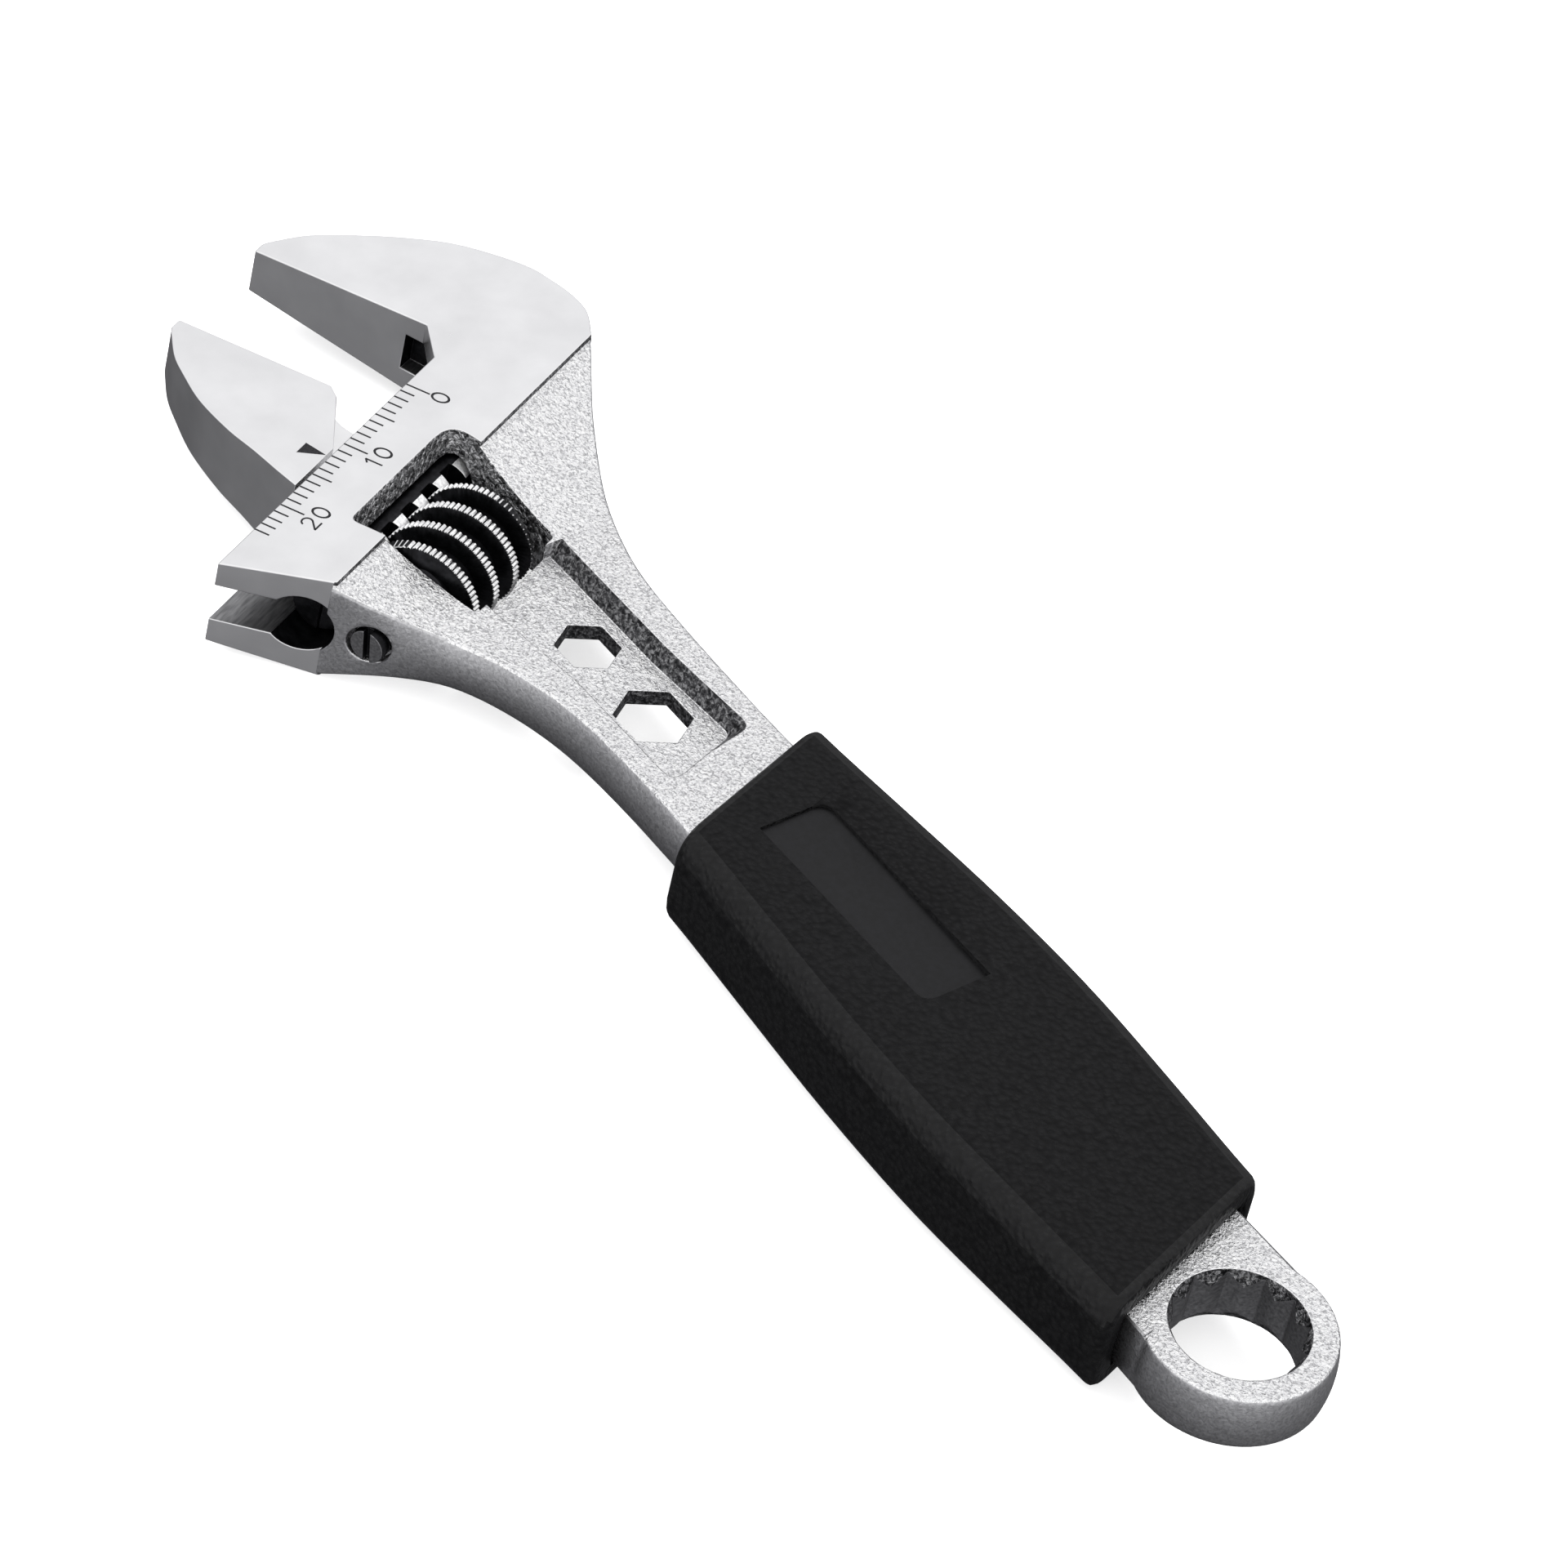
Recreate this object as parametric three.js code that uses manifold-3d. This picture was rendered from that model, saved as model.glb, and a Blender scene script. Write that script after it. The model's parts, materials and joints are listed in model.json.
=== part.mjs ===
// Adjustable wrench of the 150 mm class: a forged body with fixed jaw, thin neck and ring end,
// a sliding jaw driven by a worm on a slotted pin with a spring, and a soft grip on the handle.
// Millimetres, +Z up. The wrench lies flat, its handle along X with the ring at +X.
import * as THREE from 'three';
import { mergeVertices } from 'three/addons/utils/BufferGeometryUtils.js';
import Module from 'manifold-3d';

const wasm = await Module();
wasm.setup();

// ---- Driving dimensions ---------------------------------------------------------------------

// Whole tool. The plan origin is the ring's centre; the scale's zero mark sets the head's place.
const zeroToRing = 119;          // zero mark to ring centre, along the handle
const zeroOffAxis = 2.2;         // zero mark to handle centre line
const headAngle = 22.5;          // jaws' tilt from the handle, degrees
const gap = 0.3;                 // running clearance between pieces

// Head, measured from the zero mark: "reach" towards the jaw tips, "along" the way the jaw opens.
const jawReach = 20.4;           // slide edge to jaw tips
const jawTipWidth = 1.8;         // flat at the tip of either jaw
const fixedFaceAlong = -8;       // plane of the fixed jaw's face
const opening = 12;              // gap between the jaws as modelled
const face = fixedFaceAlong + opening;
const headEndAlong = 29.6;       // corner where the slide edge ends
const edgeHalf = 4.45;           // head's half thickness at the slide edge
const wedgeSlope = 0.105;        // half thickness lost per millimetre towards the tips
const stepReach = -9.2;          // where the ground faces end and the rough forging begins
const headRoot = 0.2;            // how far the head runs into the neck
const stepDrop = 0.38;           // how far the rough neck lies below the ground faces there

// Slide: a round bore for the jaw's rail, open to the slide edge through a slot.
const railReach = -7.2;          // centre line of bore and rail
const railRadius = 2.6;
const railLead = 5;              // rail ahead of the jaw's face
const railTail = 20;             // rail behind it
const plateHalf = 1.6;           // half thickness of the jaw's neck plate
const plateSetback = 1.5;        // plate's leading edge behind the jaw's face
const slotTopReach = 4.6;        // how far the slot runs into the root of the fixed jaw
const slotDepth = 1.6;           // how deep it goes into that jaw's face

// Worm, its pin and its spring
const wormRadius = 5.3;
const wormReach = railReach - 0.5 - wormRadius;   // worm axis, parallel to the slide
const threadDepth = 1.7;
const pitch = 3.18;
const crestWidth = 0.95;
const rootWidth = 1.5;
const crestAlong = 8.39;         // a thread crest on the rack side
const wormStart = 7.1;
const wormLength = 10.9;
const wormEnd = wormStart + wormLength;
const pinRadius = 1.2;
const pinHeadRadius = 1.6;
const pinHeadLength = 1.4;
const pinHeadAlong = 25.6;       // outer face of the slotted head
const pinTipAlong = 1.6;
const slotTurn = 97;             // the slot's angle in the head, degrees
const slotWidth = 0.6;
const slotCut = 0.7;             // the slot's depth
const springWire = 0.5;
const springTurns = 5;
const springPocket = 4.2;        // depth of the worm's counterbore

// Worm window
const windowNear = wormReach + wormRadius + gap;
const windowFar = wormReach - wormRadius - 0.8;
const windowEnd = wormEnd + gap;   // wall that the spring bears on
const windowDraft = 1.8;         // near wall's slope over its full height
const rimAbove = 0.424;          // the window's rim is drawn this far above the highest face

// Neck and handle, half thickness
const neckHalf = 2.45;
const webHalf = 0.83;
const tangHalf = 2.76;           // at the ring
const neckFlatReach = -21;       // where the taper from the head ends
const sideCrown = 0.6;           // how far the forged sides swell beyond the faces' edges
const ringCrown = 0.35;          // the same on the ring
const crownRun = 14;             // length over which the swell builds up behind the head
const edgeBreak = 0.12;
const recessDraft = 0.95;        // lean of the panel's walls over the neck's thickness
const hexSmall = 5;              // across flats
const hexLarge = 6;
const hexSmallFromZero = 30.9;
const hexLargeFromZero = 40.3;
const recessEndFromZero = 47;

// Ring
const ringOuter = 8.45;
const ringHalf = tangHalf + 0.04;   // the ring's faces stand just proud of the tang
const socketAcross = 10;         // twelve-point socket, across flats
const ringRim = 5.9;             // countersink's radius at the face
const countersinkDepth = 1.6;
const countersinkDrop = 0.9;     // radius lost over that depth

// Grip
const gripRear = 7.4;            // ring centre to the grip's rear end
const gripLength = 58.7;
const gripSlant = 0.3;           // lean of both ends across the handle
const gripEndRound = 0.9;
const labelLength = 22.5;
const labelWidth = 6.9;
const labelFromFront = 5.3;
const labelDepth = 0.65;

// ---- Solids ---------------------------------------------------------------------------------

const tall = 14;                 // cutters reach this far past the mid-plane

// A closed geometry as a manifold solid.
function solid(geometry) {
  const bare = geometry.clone();
  for (const name of Object.keys(bare.attributes)) if (name !== 'position') bare.deleteAttribute(name);
  const merged = mergeVertices(bare, 1e-5);
  const vertProperties = new Float32Array(merged.attributes.position.array);
  const triVerts = new Uint32Array(merged.index.array);
  return new wasm.Manifold(new wasm.Mesh({ numProp: 3, vertProperties, triVerts }));
}

function toGeometry(manifold) {
  const mesh = manifold.getMesh();
  const geometry = new THREE.BufferGeometry();
  geometry.setAttribute('position', new THREE.BufferAttribute(new Float32Array(mesh.vertProperties), 3));
  geometry.setIndex(new THREE.BufferAttribute(new Uint32Array(mesh.triVerts), 1));
  return geometry;
}

// Skins a row of rings, each the same number of points round, and closes both ends with a fan.
function loft(rings) {
  const count = rings[0].length;
  const points = rings.flat();
  const faces = [];
  for (let i = 0; i + 1 < rings.length; i++) {
    for (let j = 0; j < count; j++) {
      const a = i * count + j;
      const b = i * count + (j + 1) % count;
      faces.push(a, b, a + count, b, b + count, a + count);
    }
  }
  for (const [ring, start, flip] of [[rings[0], 0, true], [rings.at(-1), points.length - count, false]]) {
    const middle = ring.reduce((sum, p) => sum.add(p), new THREE.Vector3()).divideScalar(count);
    const hub = points.push(middle) - 1;
    for (let j = 0; j < count; j++) {
      const next = start + (j + 1) % count;
      faces.push(...(flip ? [hub, next, start + j] : [hub, start + j, next]));
    }
  }
  const geometry = new THREE.BufferGeometry().setFromPoints(points);
  geometry.setIndex(faces);
  return geometry;
}

// A prism of a plan shape between two heights.
function prism(shape, low, high, curveSegments = 12) {
  const options = { depth: high - low, bevelEnabled: false, curveSegments };
  const geometry = new THREE.ExtrudeGeometry(shape, options);
  return geometry.translate(0, 0, low);
}

function polygon(points) {
  return new THREE.Shape(points.map(([x, y]) => new THREE.Vector2(x, y)));
}

// A polygon with a radius at each corner, as [x, y, radius], in counterclockwise order.
function roundedPoints(corners, steps = 5) {
  const result = [];
  corners.forEach(([x, y, radius], i) => {
    const here = new THREE.Vector2(x, y);
    const before = new THREE.Vector2(...corners.at(i - 1).slice(0, 2)).sub(here).normalize();
    const after = new THREE.Vector2(...corners[(i + 1) % corners.length].slice(0, 2)).sub(here).normalize();
    const half = Math.acos(before.dot(after)) / 2;
    const trim = radius / Math.tan(half);
    const start = here.clone().addScaledVector(before, trim);
    const end = here.clone().addScaledVector(after, trim);
    const curve = new THREE.QuadraticBezierCurve(start, here, end);
    result.push(...(radius > 0 ? curve.getPoints(steps) : [here]));
  });
  return result;
}

// A pocket whose walls lean from a floor outline to a wider outline higher up.
function drafted(floorCorners, topCorners, low, high) {
  const ring = (corners, z) => roundedPoints(corners).map((p) => new THREE.Vector3(p.x, p.y, z));
  return loft([ring(floorCorners, low), ring(topCorners, high)]);
}

function rod(radius, from, to, reach = 0, segments = 40) {
  const geometry = new THREE.CylinderGeometry(radius, radius, to - from, segments);
  return geometry.translate(reach, (from + to) / 2, 0);
}

function block(x0, x1, y0, y1, z0, z1) {
  const geometry = new THREE.BoxGeometry(x1 - x0, y1 - y0, z1 - z0);
  return geometry.translate((x0 + x1) / 2, (y0 + y1) / 2, (z0 + z1) / 2);
}

// Head frame: x is the reach towards the jaw tips, y is along the way the jaw opens.
const headMatrix = new THREE.Matrix4()
  .makeRotationZ(THREE.MathUtils.degToRad(180 + headAngle))
  .setPosition(-zeroToRing, zeroOffAxis, 0);
const planToHead = headMatrix.clone().invert();
const inHead = (geometry) => solid(geometry.clone().applyMatrix4(headMatrix));

function reachOf(x, y) {
  return new THREE.Vector3(x, y, 0).applyMatrix4(planToHead).x;
}

// A geometry and its mirror image in the mid-plane, faces kept outward.
function bothSides(geometry) {
  const image = geometry.clone().scale(1, 1, -1);
  const index = image.index.array;
  for (let i = 0; i < index.length; i += 3) [index[i], index[i + 1]] = [index[i + 1], index[i]];
  return solid(geometry).add(solid(image));
}

// ---- Forged body ----------------------------------------------------------------------------

const headHalfAt = (reach) => edgeHalf - wedgeSlope * reach;
const ridgeHalf = headHalfAt(stepReach) - stepDrop;

// The wedge between the two ground faces, as a slab across the whole head.
function groundWedge() {
  const far = jawReach + 2;
  const near = stepReach - 2;
  const side = polygon([[near, -headHalfAt(near)], [far, -headHalfAt(far)],
    [far, headHalfAt(far)], [near, headHalfAt(near)]]);
  const width = 90;
  const geometry = new THREE.ExtrudeGeometry(side, { depth: width, bevelEnabled: false });
  return geometry.rotateX(Math.PI / 2).translate(0, width / 2 + 5, 0);
}

// Fixed jaw and slide, seen from above in the head frame.
function headOutline() {
  const shape = new THREE.Shape();
  const tip = fixedFaceAlong - jawTipWidth;
  const [first, last] = [fixedFaceAlong - 7.6, headEndAlong - 3.6];
  shape.moveTo(stepReach, last);
  shape.lineTo(stepReach - headRoot, last - headRoot);
  shape.lineTo(stepReach - headRoot, first + headRoot);
  shape.lineTo(stepReach, first);
  shape.splineThru([[-7.5, -9.8], [-5.5, -11], [-2.9, -11.8], [0.6, -12.3], [6.4, -11.4], [10.7, -9.5],
    [14.9, -6.9], [17.9, -4.6]].map(([reach, along]) => new THREE.Vector2(reach, fixedFaceAlong + along))
    .concat(new THREE.Vector2(jawReach - 0.3, tip)));
  shape.lineTo(jawReach, tip + 0.6);
  shape.lineTo(jawReach, fixedFaceAlong);
  shape.lineTo(2.8, fixedFaceAlong);
  shape.lineTo(0, fixedFaceAlong + 3.4);
  shape.lineTo(0, headEndAlong);
  return shape;
}

// The neck's two edges from the head to the ring, matched point to point.
function neckEdges() {
  const x = (fromZero) => fromZero - zeroToRing;
  const lower = new THREE.SplineCurve([[17.2, -19.9], [20.8, -16.9], [24, -14.2], [27, -11.9], [30.5, -9.9],
    [35, -8.3], [40, -7.4], [47, -7.1], [54, -7.2]].map(([d, y]) => new THREE.Vector2(x(d), y)));
  const upper = new THREE.SplineCurve([[0.9, 21.2], [4.6, 18.9], [9, 16.1], [13.4, 13.7], [17.6, 11.6],
    [22, 9.9], [27, 8.7], [34, 8.2], [44, 8], [54, 8.1]].map(([d, y]) => new THREE.Vector2(x(d), y)));
  const count = 40;
  const pairs = [];
  for (let i = 0; i <= count; i++) pairs.push([lower.getPointAt(i / count), upper.getPointAt(i / count)]);
  const [lowEnd, highEnd] = pairs.at(-1);
  const tangWidth = ringOuter - 0.4;
  const tangSteps = 4;
  for (let i = 1; i <= tangSteps; i++) {
    const t = i / tangSteps;
    const low = lowEnd.clone().lerp(new THREE.Vector2(0, -tangWidth), t);
    pairs.push([low, highEnd.clone().lerp(new THREE.Vector2(0, tangWidth), t)]);
  }
  return pairs;
}

// How far along the grip a place is, from its front (0) to its rear (1).
function tangShare(x) {
  return THREE.MathUtils.clamp((x + gripRear + gripLength) / gripLength, 0, 1);
}

function handleHalfAt(x, y) {
  const t = THREE.MathUtils.clamp((reachOf(x, y) - neckFlatReach) / (stepReach - neckFlatReach), 0, 1);
  return neckHalf + (ridgeHalf - neckHalf) * t ** 1.6 + (tangHalf - neckHalf) * tangShare(x);
}

// A swelling side from near the mid-plane up to the face, as [inset, share of the half thickness].
function crownSpots(crown) {
  const side = [0.12, 0.35, 0.58, 0.78, 0.94].map((share) => [crown * share ** 2, share]);
  return [...side, [crown + edgeBreak, 1]];
}

// Neck and handle as one forged bar with crowned sides; "extra" grows it for the grip's tunnel.
function handleBar(extra = 0) {
  const rings = neckEdges().map(([low, high]) => {
    const across = high.clone().sub(low);
    const width = across.length();
    across.normalize();
    const built = THREE.MathUtils.smoothstep(neckFlatReach - reachOf(low.x, low.y), -crownRun, 0);
    const crown = THREE.MathUtils.lerp(sideCrown, ringCrown, tangShare(low.x)) * built;
    const spots = crownSpots(crown);
    const inner = [0.25, 0.5, 0.75].map((t) => [t * width, 1]);
    const top = [...spots, ...inner, ...spots.map(([inset, share]) => [width - inset, share]).reverse()];
    const place = ([distance, share], sign) => {
      const p = low.clone().addScaledVector(across, distance + (distance / width - 0.5) * 2 * extra);
      return new THREE.Vector3(p.x, p.y, sign * share * (handleHalfAt(p.x, p.y) + extra));
    };
    return [...top.map((s) => place(s, -1)), ...top.map((s) => place(s, 1)).reverse()];
  });
  return solid(loft(rings));
}

function ringDisc() {
  const side = crownSpots(ringCrown)
    .map(([inset, share]) => new THREE.Vector2(ringOuter - inset, ringHalf * share));
  const under = side.map((p) => new THREE.Vector2(p.x, -p.y)).reverse();
  const profile = [new THREE.Vector2(0, -ringHalf), ...under, ...side, new THREE.Vector2(0, ringHalf)];
  return solid(new THREE.LatheGeometry(profile, 72).rotateX(Math.PI / 2));
}

function ringSocket() {
  const star = new THREE.Shape();
  for (let i = 0; i < 24; i++) {
    const radius = (socketAcross / 2) / Math.cos(Math.PI / (i % 2 ? 12 : 6));
    const angle = (i * Math.PI) / 12;
    star[i ? 'lineTo' : 'moveTo'](radius * Math.cos(angle), radius * Math.sin(angle));
  }
  const [wide, narrow] = [ringRim + countersinkDrop, ringRim - countersinkDrop];
  const cone = new THREE.CylinderGeometry(wide, narrow, countersinkDepth * 2, 48);
  cone.rotateX(Math.PI / 2).translate(0, 0, ringHalf);
  return solid(prism(star, -tall, tall)).add(bothSides(cone));
}

function hexagon(across, centre) {
  const radius = across / Math.sqrt(3);
  const shape = new THREE.Shape();
  for (let i = 0; i < 6; i++) {
    const angle = (i * Math.PI) / 3;
    shape[i ? 'lineTo' : 'moveTo'](centre + radius * Math.cos(angle), radius * Math.sin(angle));
  }
  return solid(prism(shape, -tall, tall));
}

// Thin panel in the neck, sunk from both sides and open to the worm window.
function neckRecess() {
  const end = recessEndFromZero - zeroToRing;
  const start = windowFarPoint(0).x - 2;
  const floor = [[start, -5.6, 0], [end - 12, -3.6, 0], [end + 0.6, -3.4, 1.2],
    [end - 1.8, 4.6, 1.2], [end - 12, 3.8, 0], [start, 3.6, 0]];
  const out = recessDraft * (ridgeHalf - webHalf) / (neckHalf - webHalf);
  const top = floor.map(([x, y, round]) => [x + (x > end - 2 ? out : 0), y + Math.sign(y) * out, round]);
  return bothSides(drafted(floor, top, webHalf, ridgeHalf));
}

// Plan point on the window's far wall, a distance along from the worm's middle.
function windowFarPoint(offset) {
  return new THREE.Vector3(windowFar, wormStart + wormLength / 2 + offset, 0).applyMatrix4(headMatrix);
}

function wormWindow() {
  const middle = [[windowFar, windowEnd, 0.6], [windowFar, wormStart - 0.7, 0.6],
    [windowNear, wormStart - 3.4, 0.8], [windowNear, windowEnd, 0.8]];
  const near = windowNear + windowDraft;
  const rim = [[windowFar, windowEnd + 0.1, 0.6], [windowFar, wormStart - 1.9, 0.6],
    [near, wormStart - 5.2, 2.2], [near, windowEnd - 0.2, 0.8]];
  return bothSides(drafted(middle, rim, 0, headHalfAt(stepReach) + rimAbove).applyMatrix4(headMatrix));
}

function wrenchBody() {
  const beyond = headEndAlong + 10;
  const slotHalf = plateHalf + gap;
  const headSide = inHead(block(stepReach, 60, -beyond, beyond, -tall, tall));
  const head = inHead(prism(headOutline(), -tall, tall, 8)).intersect(inHead(groundWedge()));
  const cuts = [
    inHead(rod(railRadius + gap, fixedFaceAlong - railLead - 2 * gap, beyond, railReach)),
    inHead(block(railReach, slotTopReach, fixedFaceAlong - slotDepth, beyond, -slotHalf, slotHalf)),
    wormWindow(),
    neckRecess(),
    hexagon(hexSmall, hexSmallFromZero - zeroToRing),
    hexagon(hexLarge, hexLargeFromZero - zeroToRing),
    ringSocket(),
    inHead(rod(pinRadius + gap, pinTipAlong - gap, beyond, wormReach, 24)),
    inHead(rod(pinHeadRadius + gap, pinHeadAlong - pinHeadLength - gap, beyond, wormReach, 28)),
  ];
  const blank = handleBar().subtract(headSide).add(head).add(ringDisc());
  return cuts.reduce((body, cut) => body.subtract(cut), blank);
}

// ---- Sliding jaw ----------------------------------------------------------------------------

// Reach of the rack's tips and roots, from the worm it runs on.
const rackTip = wormReach + wormRadius - threadDepth + gap;
const rackRoot = wormReach + wormRadius + gap;

function jawOutline() {
  const shape = new THREE.Shape();
  shape.moveTo(jawReach, face);
  shape.lineTo(jawReach, face + jawTipWidth - 0.6);
  shape.lineTo(jawReach - 0.3, face + jawTipWidth);
  shape.splineThru([[18.1, 4.4], [16.1, 6.1], [13, 8.3], [9, 10.15], [5.6, 11.25], [2.7, 12.3], [gap, 13.1]]
    .map(([reach, along]) => new THREE.Vector2(reach, face + along)));
  shape.lineTo(gap, face + 7.1);
  shape.lineTo(3.8, face + 1);
  shape.lineTo(5, face);
  return shape;
}

// Thin plate that joins the jaw to its rail through the slot, with a hollow at its leading edge.
function jawPlate() {
  const shape = new THREE.Shape();
  shape.moveTo(railReach, face + 12.6);
  shape.lineTo(railReach, face + plateSetback);
  shape.lineTo(1, face + plateSetback);
  shape.quadraticCurveTo(3.4, face + plateSetback, 4.7, face + 0.2);
  shape.lineTo(6.5, face + 4);
  shape.lineTo(6.5, face + 9);
  shape.lineTo(1.5, face + 12.6);
  return prism(shape, -plateHalf, plateHalf);
}

// One groove of the rack, leaning with the thread.
function rackGroove(along) {
  const tipHalf = rootWidth / 2 + gap;
  const rootHalf = crestWidth / 2 + gap;
  const top = rackTip - 1;
  const shape = polygon([[top, tipHalf + 0.1], [rackTip, tipHalf], [rackRoot, rootHalf],
    [rackRoot, -rootHalf], [rackTip, -tipHalf], [top, -tipHalf - 0.1]].reverse());
  const lean = pitch / (2 * Math.PI * (wormRadius - threadDepth / 2));
  const geometry = prism(shape, -railRadius - 1, railRadius + 1);
  const spots = geometry.attributes.position;
  for (let i = 0; i < spots.count; i++) spots.setY(i, spots.getY(i) + along - lean * spots.getZ(i));
  return inHead(geometry);
}

const railStart = face - railLead;
const railEnd = face + railTail;

function movableJaw() {
  const rail = inHead(rod(railRadius, railStart, railEnd, railReach, 36))
    .subtract(inHead(block(railReach - railRadius - 1, rackTip, railStart - 1, railEnd + 1, -tall, tall)));
  let jaw = inHead(prism(jawOutline(), -tall, tall, 8)).intersect(inHead(groundWedge()));
  jaw = jaw.add(inHead(jawPlate())).add(rail);
  const first = Math.ceil((railStart - 1 - crestAlong) / pitch);
  const last = Math.floor((railEnd + 1 - crestAlong) / pitch);
  for (let i = first; i <= last; i++) jaw = jaw.subtract(rackGroove(crestAlong + i * pitch));
  return jaw;
}

// ---- Worm, pin and spring -------------------------------------------------------------------

// Cross-section of a one-start thread: one crest, two flanks and one root round the axis.
function threadSection() {
  const root = wormRadius - threadDepth;
  const toAngle = (width) => (width / pitch) * Math.PI;
  const crest = toAngle(crestWidth);
  const foot = toAngle(rootWidth);
  const points = [];
  const arc = (radius, from, to, steps) => {
    for (let i = 0; i <= steps; i++) {
      const angle = THREE.MathUtils.lerp(from, to, i / steps);
      points.push([radius * Math.cos(angle), radius * Math.sin(angle)]);
    }
  };
  arc(wormRadius, -crest, crest, 7);
  arc(root, foot, 2 * Math.PI - foot, 13);
  return polygon(points);
}

function adjustingWorm() {
  const extra = 0.5;
  const length = wormLength + 2 * extra;
  const steps = Math.round(length / pitch * 16);
  const options = { depth: length, steps, bevelEnabled: false };
  const geometry = new THREE.ExtrudeGeometry(threadSection(), options);
  const spots = geometry.attributes.position;
  const axis = new THREE.Vector3(0, 0, 1);
  const spot = new THREE.Vector3();
  for (let i = 0; i < spots.count; i++) {
    spot.fromBufferAttribute(spots, i);
    const turn = (spot.z + wormStart - extra - crestAlong) / pitch;
    spot.applyAxisAngle(axis, turn * 2 * Math.PI);
    spots.setXYZ(i, spot.x, spot.y, spot.z);
  }
  geometry.rotateX(-Math.PI / 2).translate(wormReach, wormStart - extra, 0);
  const chamfer = 0.9;
  const half = wormLength / 2;
  const clear = wormRadius + 0.15;
  const profile = [[0, -half], [wormRadius - chamfer, -half], [clear, chamfer - half],
    [clear, half - chamfer], [wormRadius - chamfer, half], [0, half]];
  const blank = new THREE.LatheGeometry(profile.map(([r, y]) => new THREE.Vector2(r, y)), 40);
  blank.translate(wormReach, wormStart + half, 0);
  const pocketRadius = pinRadius + gap + springWire + 1.5 * gap;
  return inHead(geometry).intersect(inHead(blank))
    .subtract(inHead(rod(pinRadius + gap, wormStart - 1, wormEnd + 1, wormReach, 24)))
    .subtract(inHead(rod(pocketRadius, wormEnd - springPocket, wormEnd + 1, wormReach, 28)));
}

function wormPin() {
  const headStart = pinHeadAlong - pinHeadLength;
  const reach = pinHeadRadius + 1;
  const slot = block(-reach, reach, pinHeadAlong - slotCut, pinHeadAlong + 1, -slotWidth / 2, slotWidth / 2);
  slot.rotateY(THREE.MathUtils.degToRad(slotTurn)).translate(wormReach, 0, 0);
  return inHead(rod(pinRadius, pinTipAlong, headStart + 0.2, wormReach, 24))
    .add(inHead(rod(pinHeadRadius, headStart, pinHeadAlong, wormReach, 28)))
    .subtract(inHead(slot));
}

class Coil extends THREE.Curve {
  getPoint(t, target = new THREE.Vector3()) {
    const angle = t * springTurns * 2 * Math.PI;
    const radius = pinRadius + gap + springWire / 2;
    const from = wormEnd - springPocket + gap + springWire / 2;
    const to = windowEnd - gap - springWire / 2;
    const along = THREE.MathUtils.lerp(from, to, t);
    return target.set(wormReach + radius * Math.cos(angle), along, radius * Math.sin(angle));
  }
}

function wormSpring() {
  const wire = new THREE.Shape();
  for (let i = 0; i < 6; i++) {
    const angle = (i * Math.PI) / 3;
    wire[i ? 'lineTo' : 'moveTo'](springWire / 2 * Math.cos(angle), springWire / 2 * Math.sin(angle));
  }
  const options = { steps: springTurns * 12, extrudePath: new Coil(), bevelEnabled: false };
  return inHead(new THREE.ExtrudeGeometry(wire, options));
}

// ---- Grip -----------------------------------------------------------------------------------

// Half width and half thickness of the grip, front (0) to rear (1).
const curveThrough = (spots) => new THREE.SplineCurve(spots.map(([x, y]) => new THREE.Vector2(x, y)));
const gripWidth = curveThrough([[0, 9.9], [0.14, 10.7], [0.35, 11.5], [0.58, 11.75], [0.8, 11.3],
  [1, 10.75]]);
const gripHeight = curveThrough([[0, 5.25], [0.3, 5.45], [0.6, 5.6], [1, 5.3]]);

function gripRing(t, inset) {
  const along = -gripRear - gripLength + t * gripLength;
  const halfWidth = gripWidth.getPoint(t).y - inset;
  const halfHeight = gripHeight.getPoint(t).y - inset;
  const radius = 2.6 - inset;
  const corners = [[-halfWidth, -halfHeight, radius], [halfWidth, -halfHeight, radius],
    [halfWidth, halfHeight, radius], [-halfWidth, halfHeight, radius]];
  const bulge = 0.35;
  return roundedPoints(corners, 6).flatMap((p) => {
    const side = bulge * (1 - (p.y / halfHeight) ** 2);
    const crown = bulge * (1 - (p.x / halfWidth) ** 2);
    const y = p.x + Math.sign(p.x) * side - Math.sign(p.x) * bulge;
    const z = p.y + Math.sign(p.y) * crown - Math.sign(p.y) * bulge;
    return [new THREE.Vector3(along - gripSlant * y, y, z)];
  });
}

// Sunk label panel, two of its corners sharp and two rounded.
function labelPanel() {
  const start = -gripRear - gripLength + labelFromFront;
  const end = start + labelLength;
  const low = -labelWidth / 2 + 0.4;
  const high = low + labelWidth;
  const corners = [[start, low, 0], [end, low, 1.4], [end, high, 0], [start, high, 1.4]];
  const floor = gripHeight.getPoint(0.3).y - labelDepth;
  return bothSides(drafted(corners, corners, floor, floor + 3));
}

function handleGrip() {
  const turns = 3;
  const stations = 22;
  const share = gripEndRound / gripLength;
  const end = [];
  for (let i = turns; i > 0; i--) {
    const angle = (i / turns) * Math.PI / 2;
    end.push([share * (1 - Math.sin(angle)), gripEndRound * (1 - Math.cos(angle))]);
  }
  const rings = end.map(([t, inset]) => gripRing(t, inset));
  for (let i = 0; i <= stations; i++) rings.push(gripRing(share + (1 - 2 * share) * i / stations, 0));
  rings.push(...end.reverse().map(([t, inset]) => gripRing(1 - t, inset)));
  return solid(loft(rings)).subtract(handleBar(gap)).subtract(labelPanel());
}

// ---- Assembly -------------------------------------------------------------------------------

const chrome = { color: 0xdcdde0, roughness: 0.3, metalness: 1 };
const blackened = { color: 0x1d1d20, roughness: 0.45, metalness: 0.8 };
const rubber = { color: 0x222224, roughness: 0.75, metalness: 0 };

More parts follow.
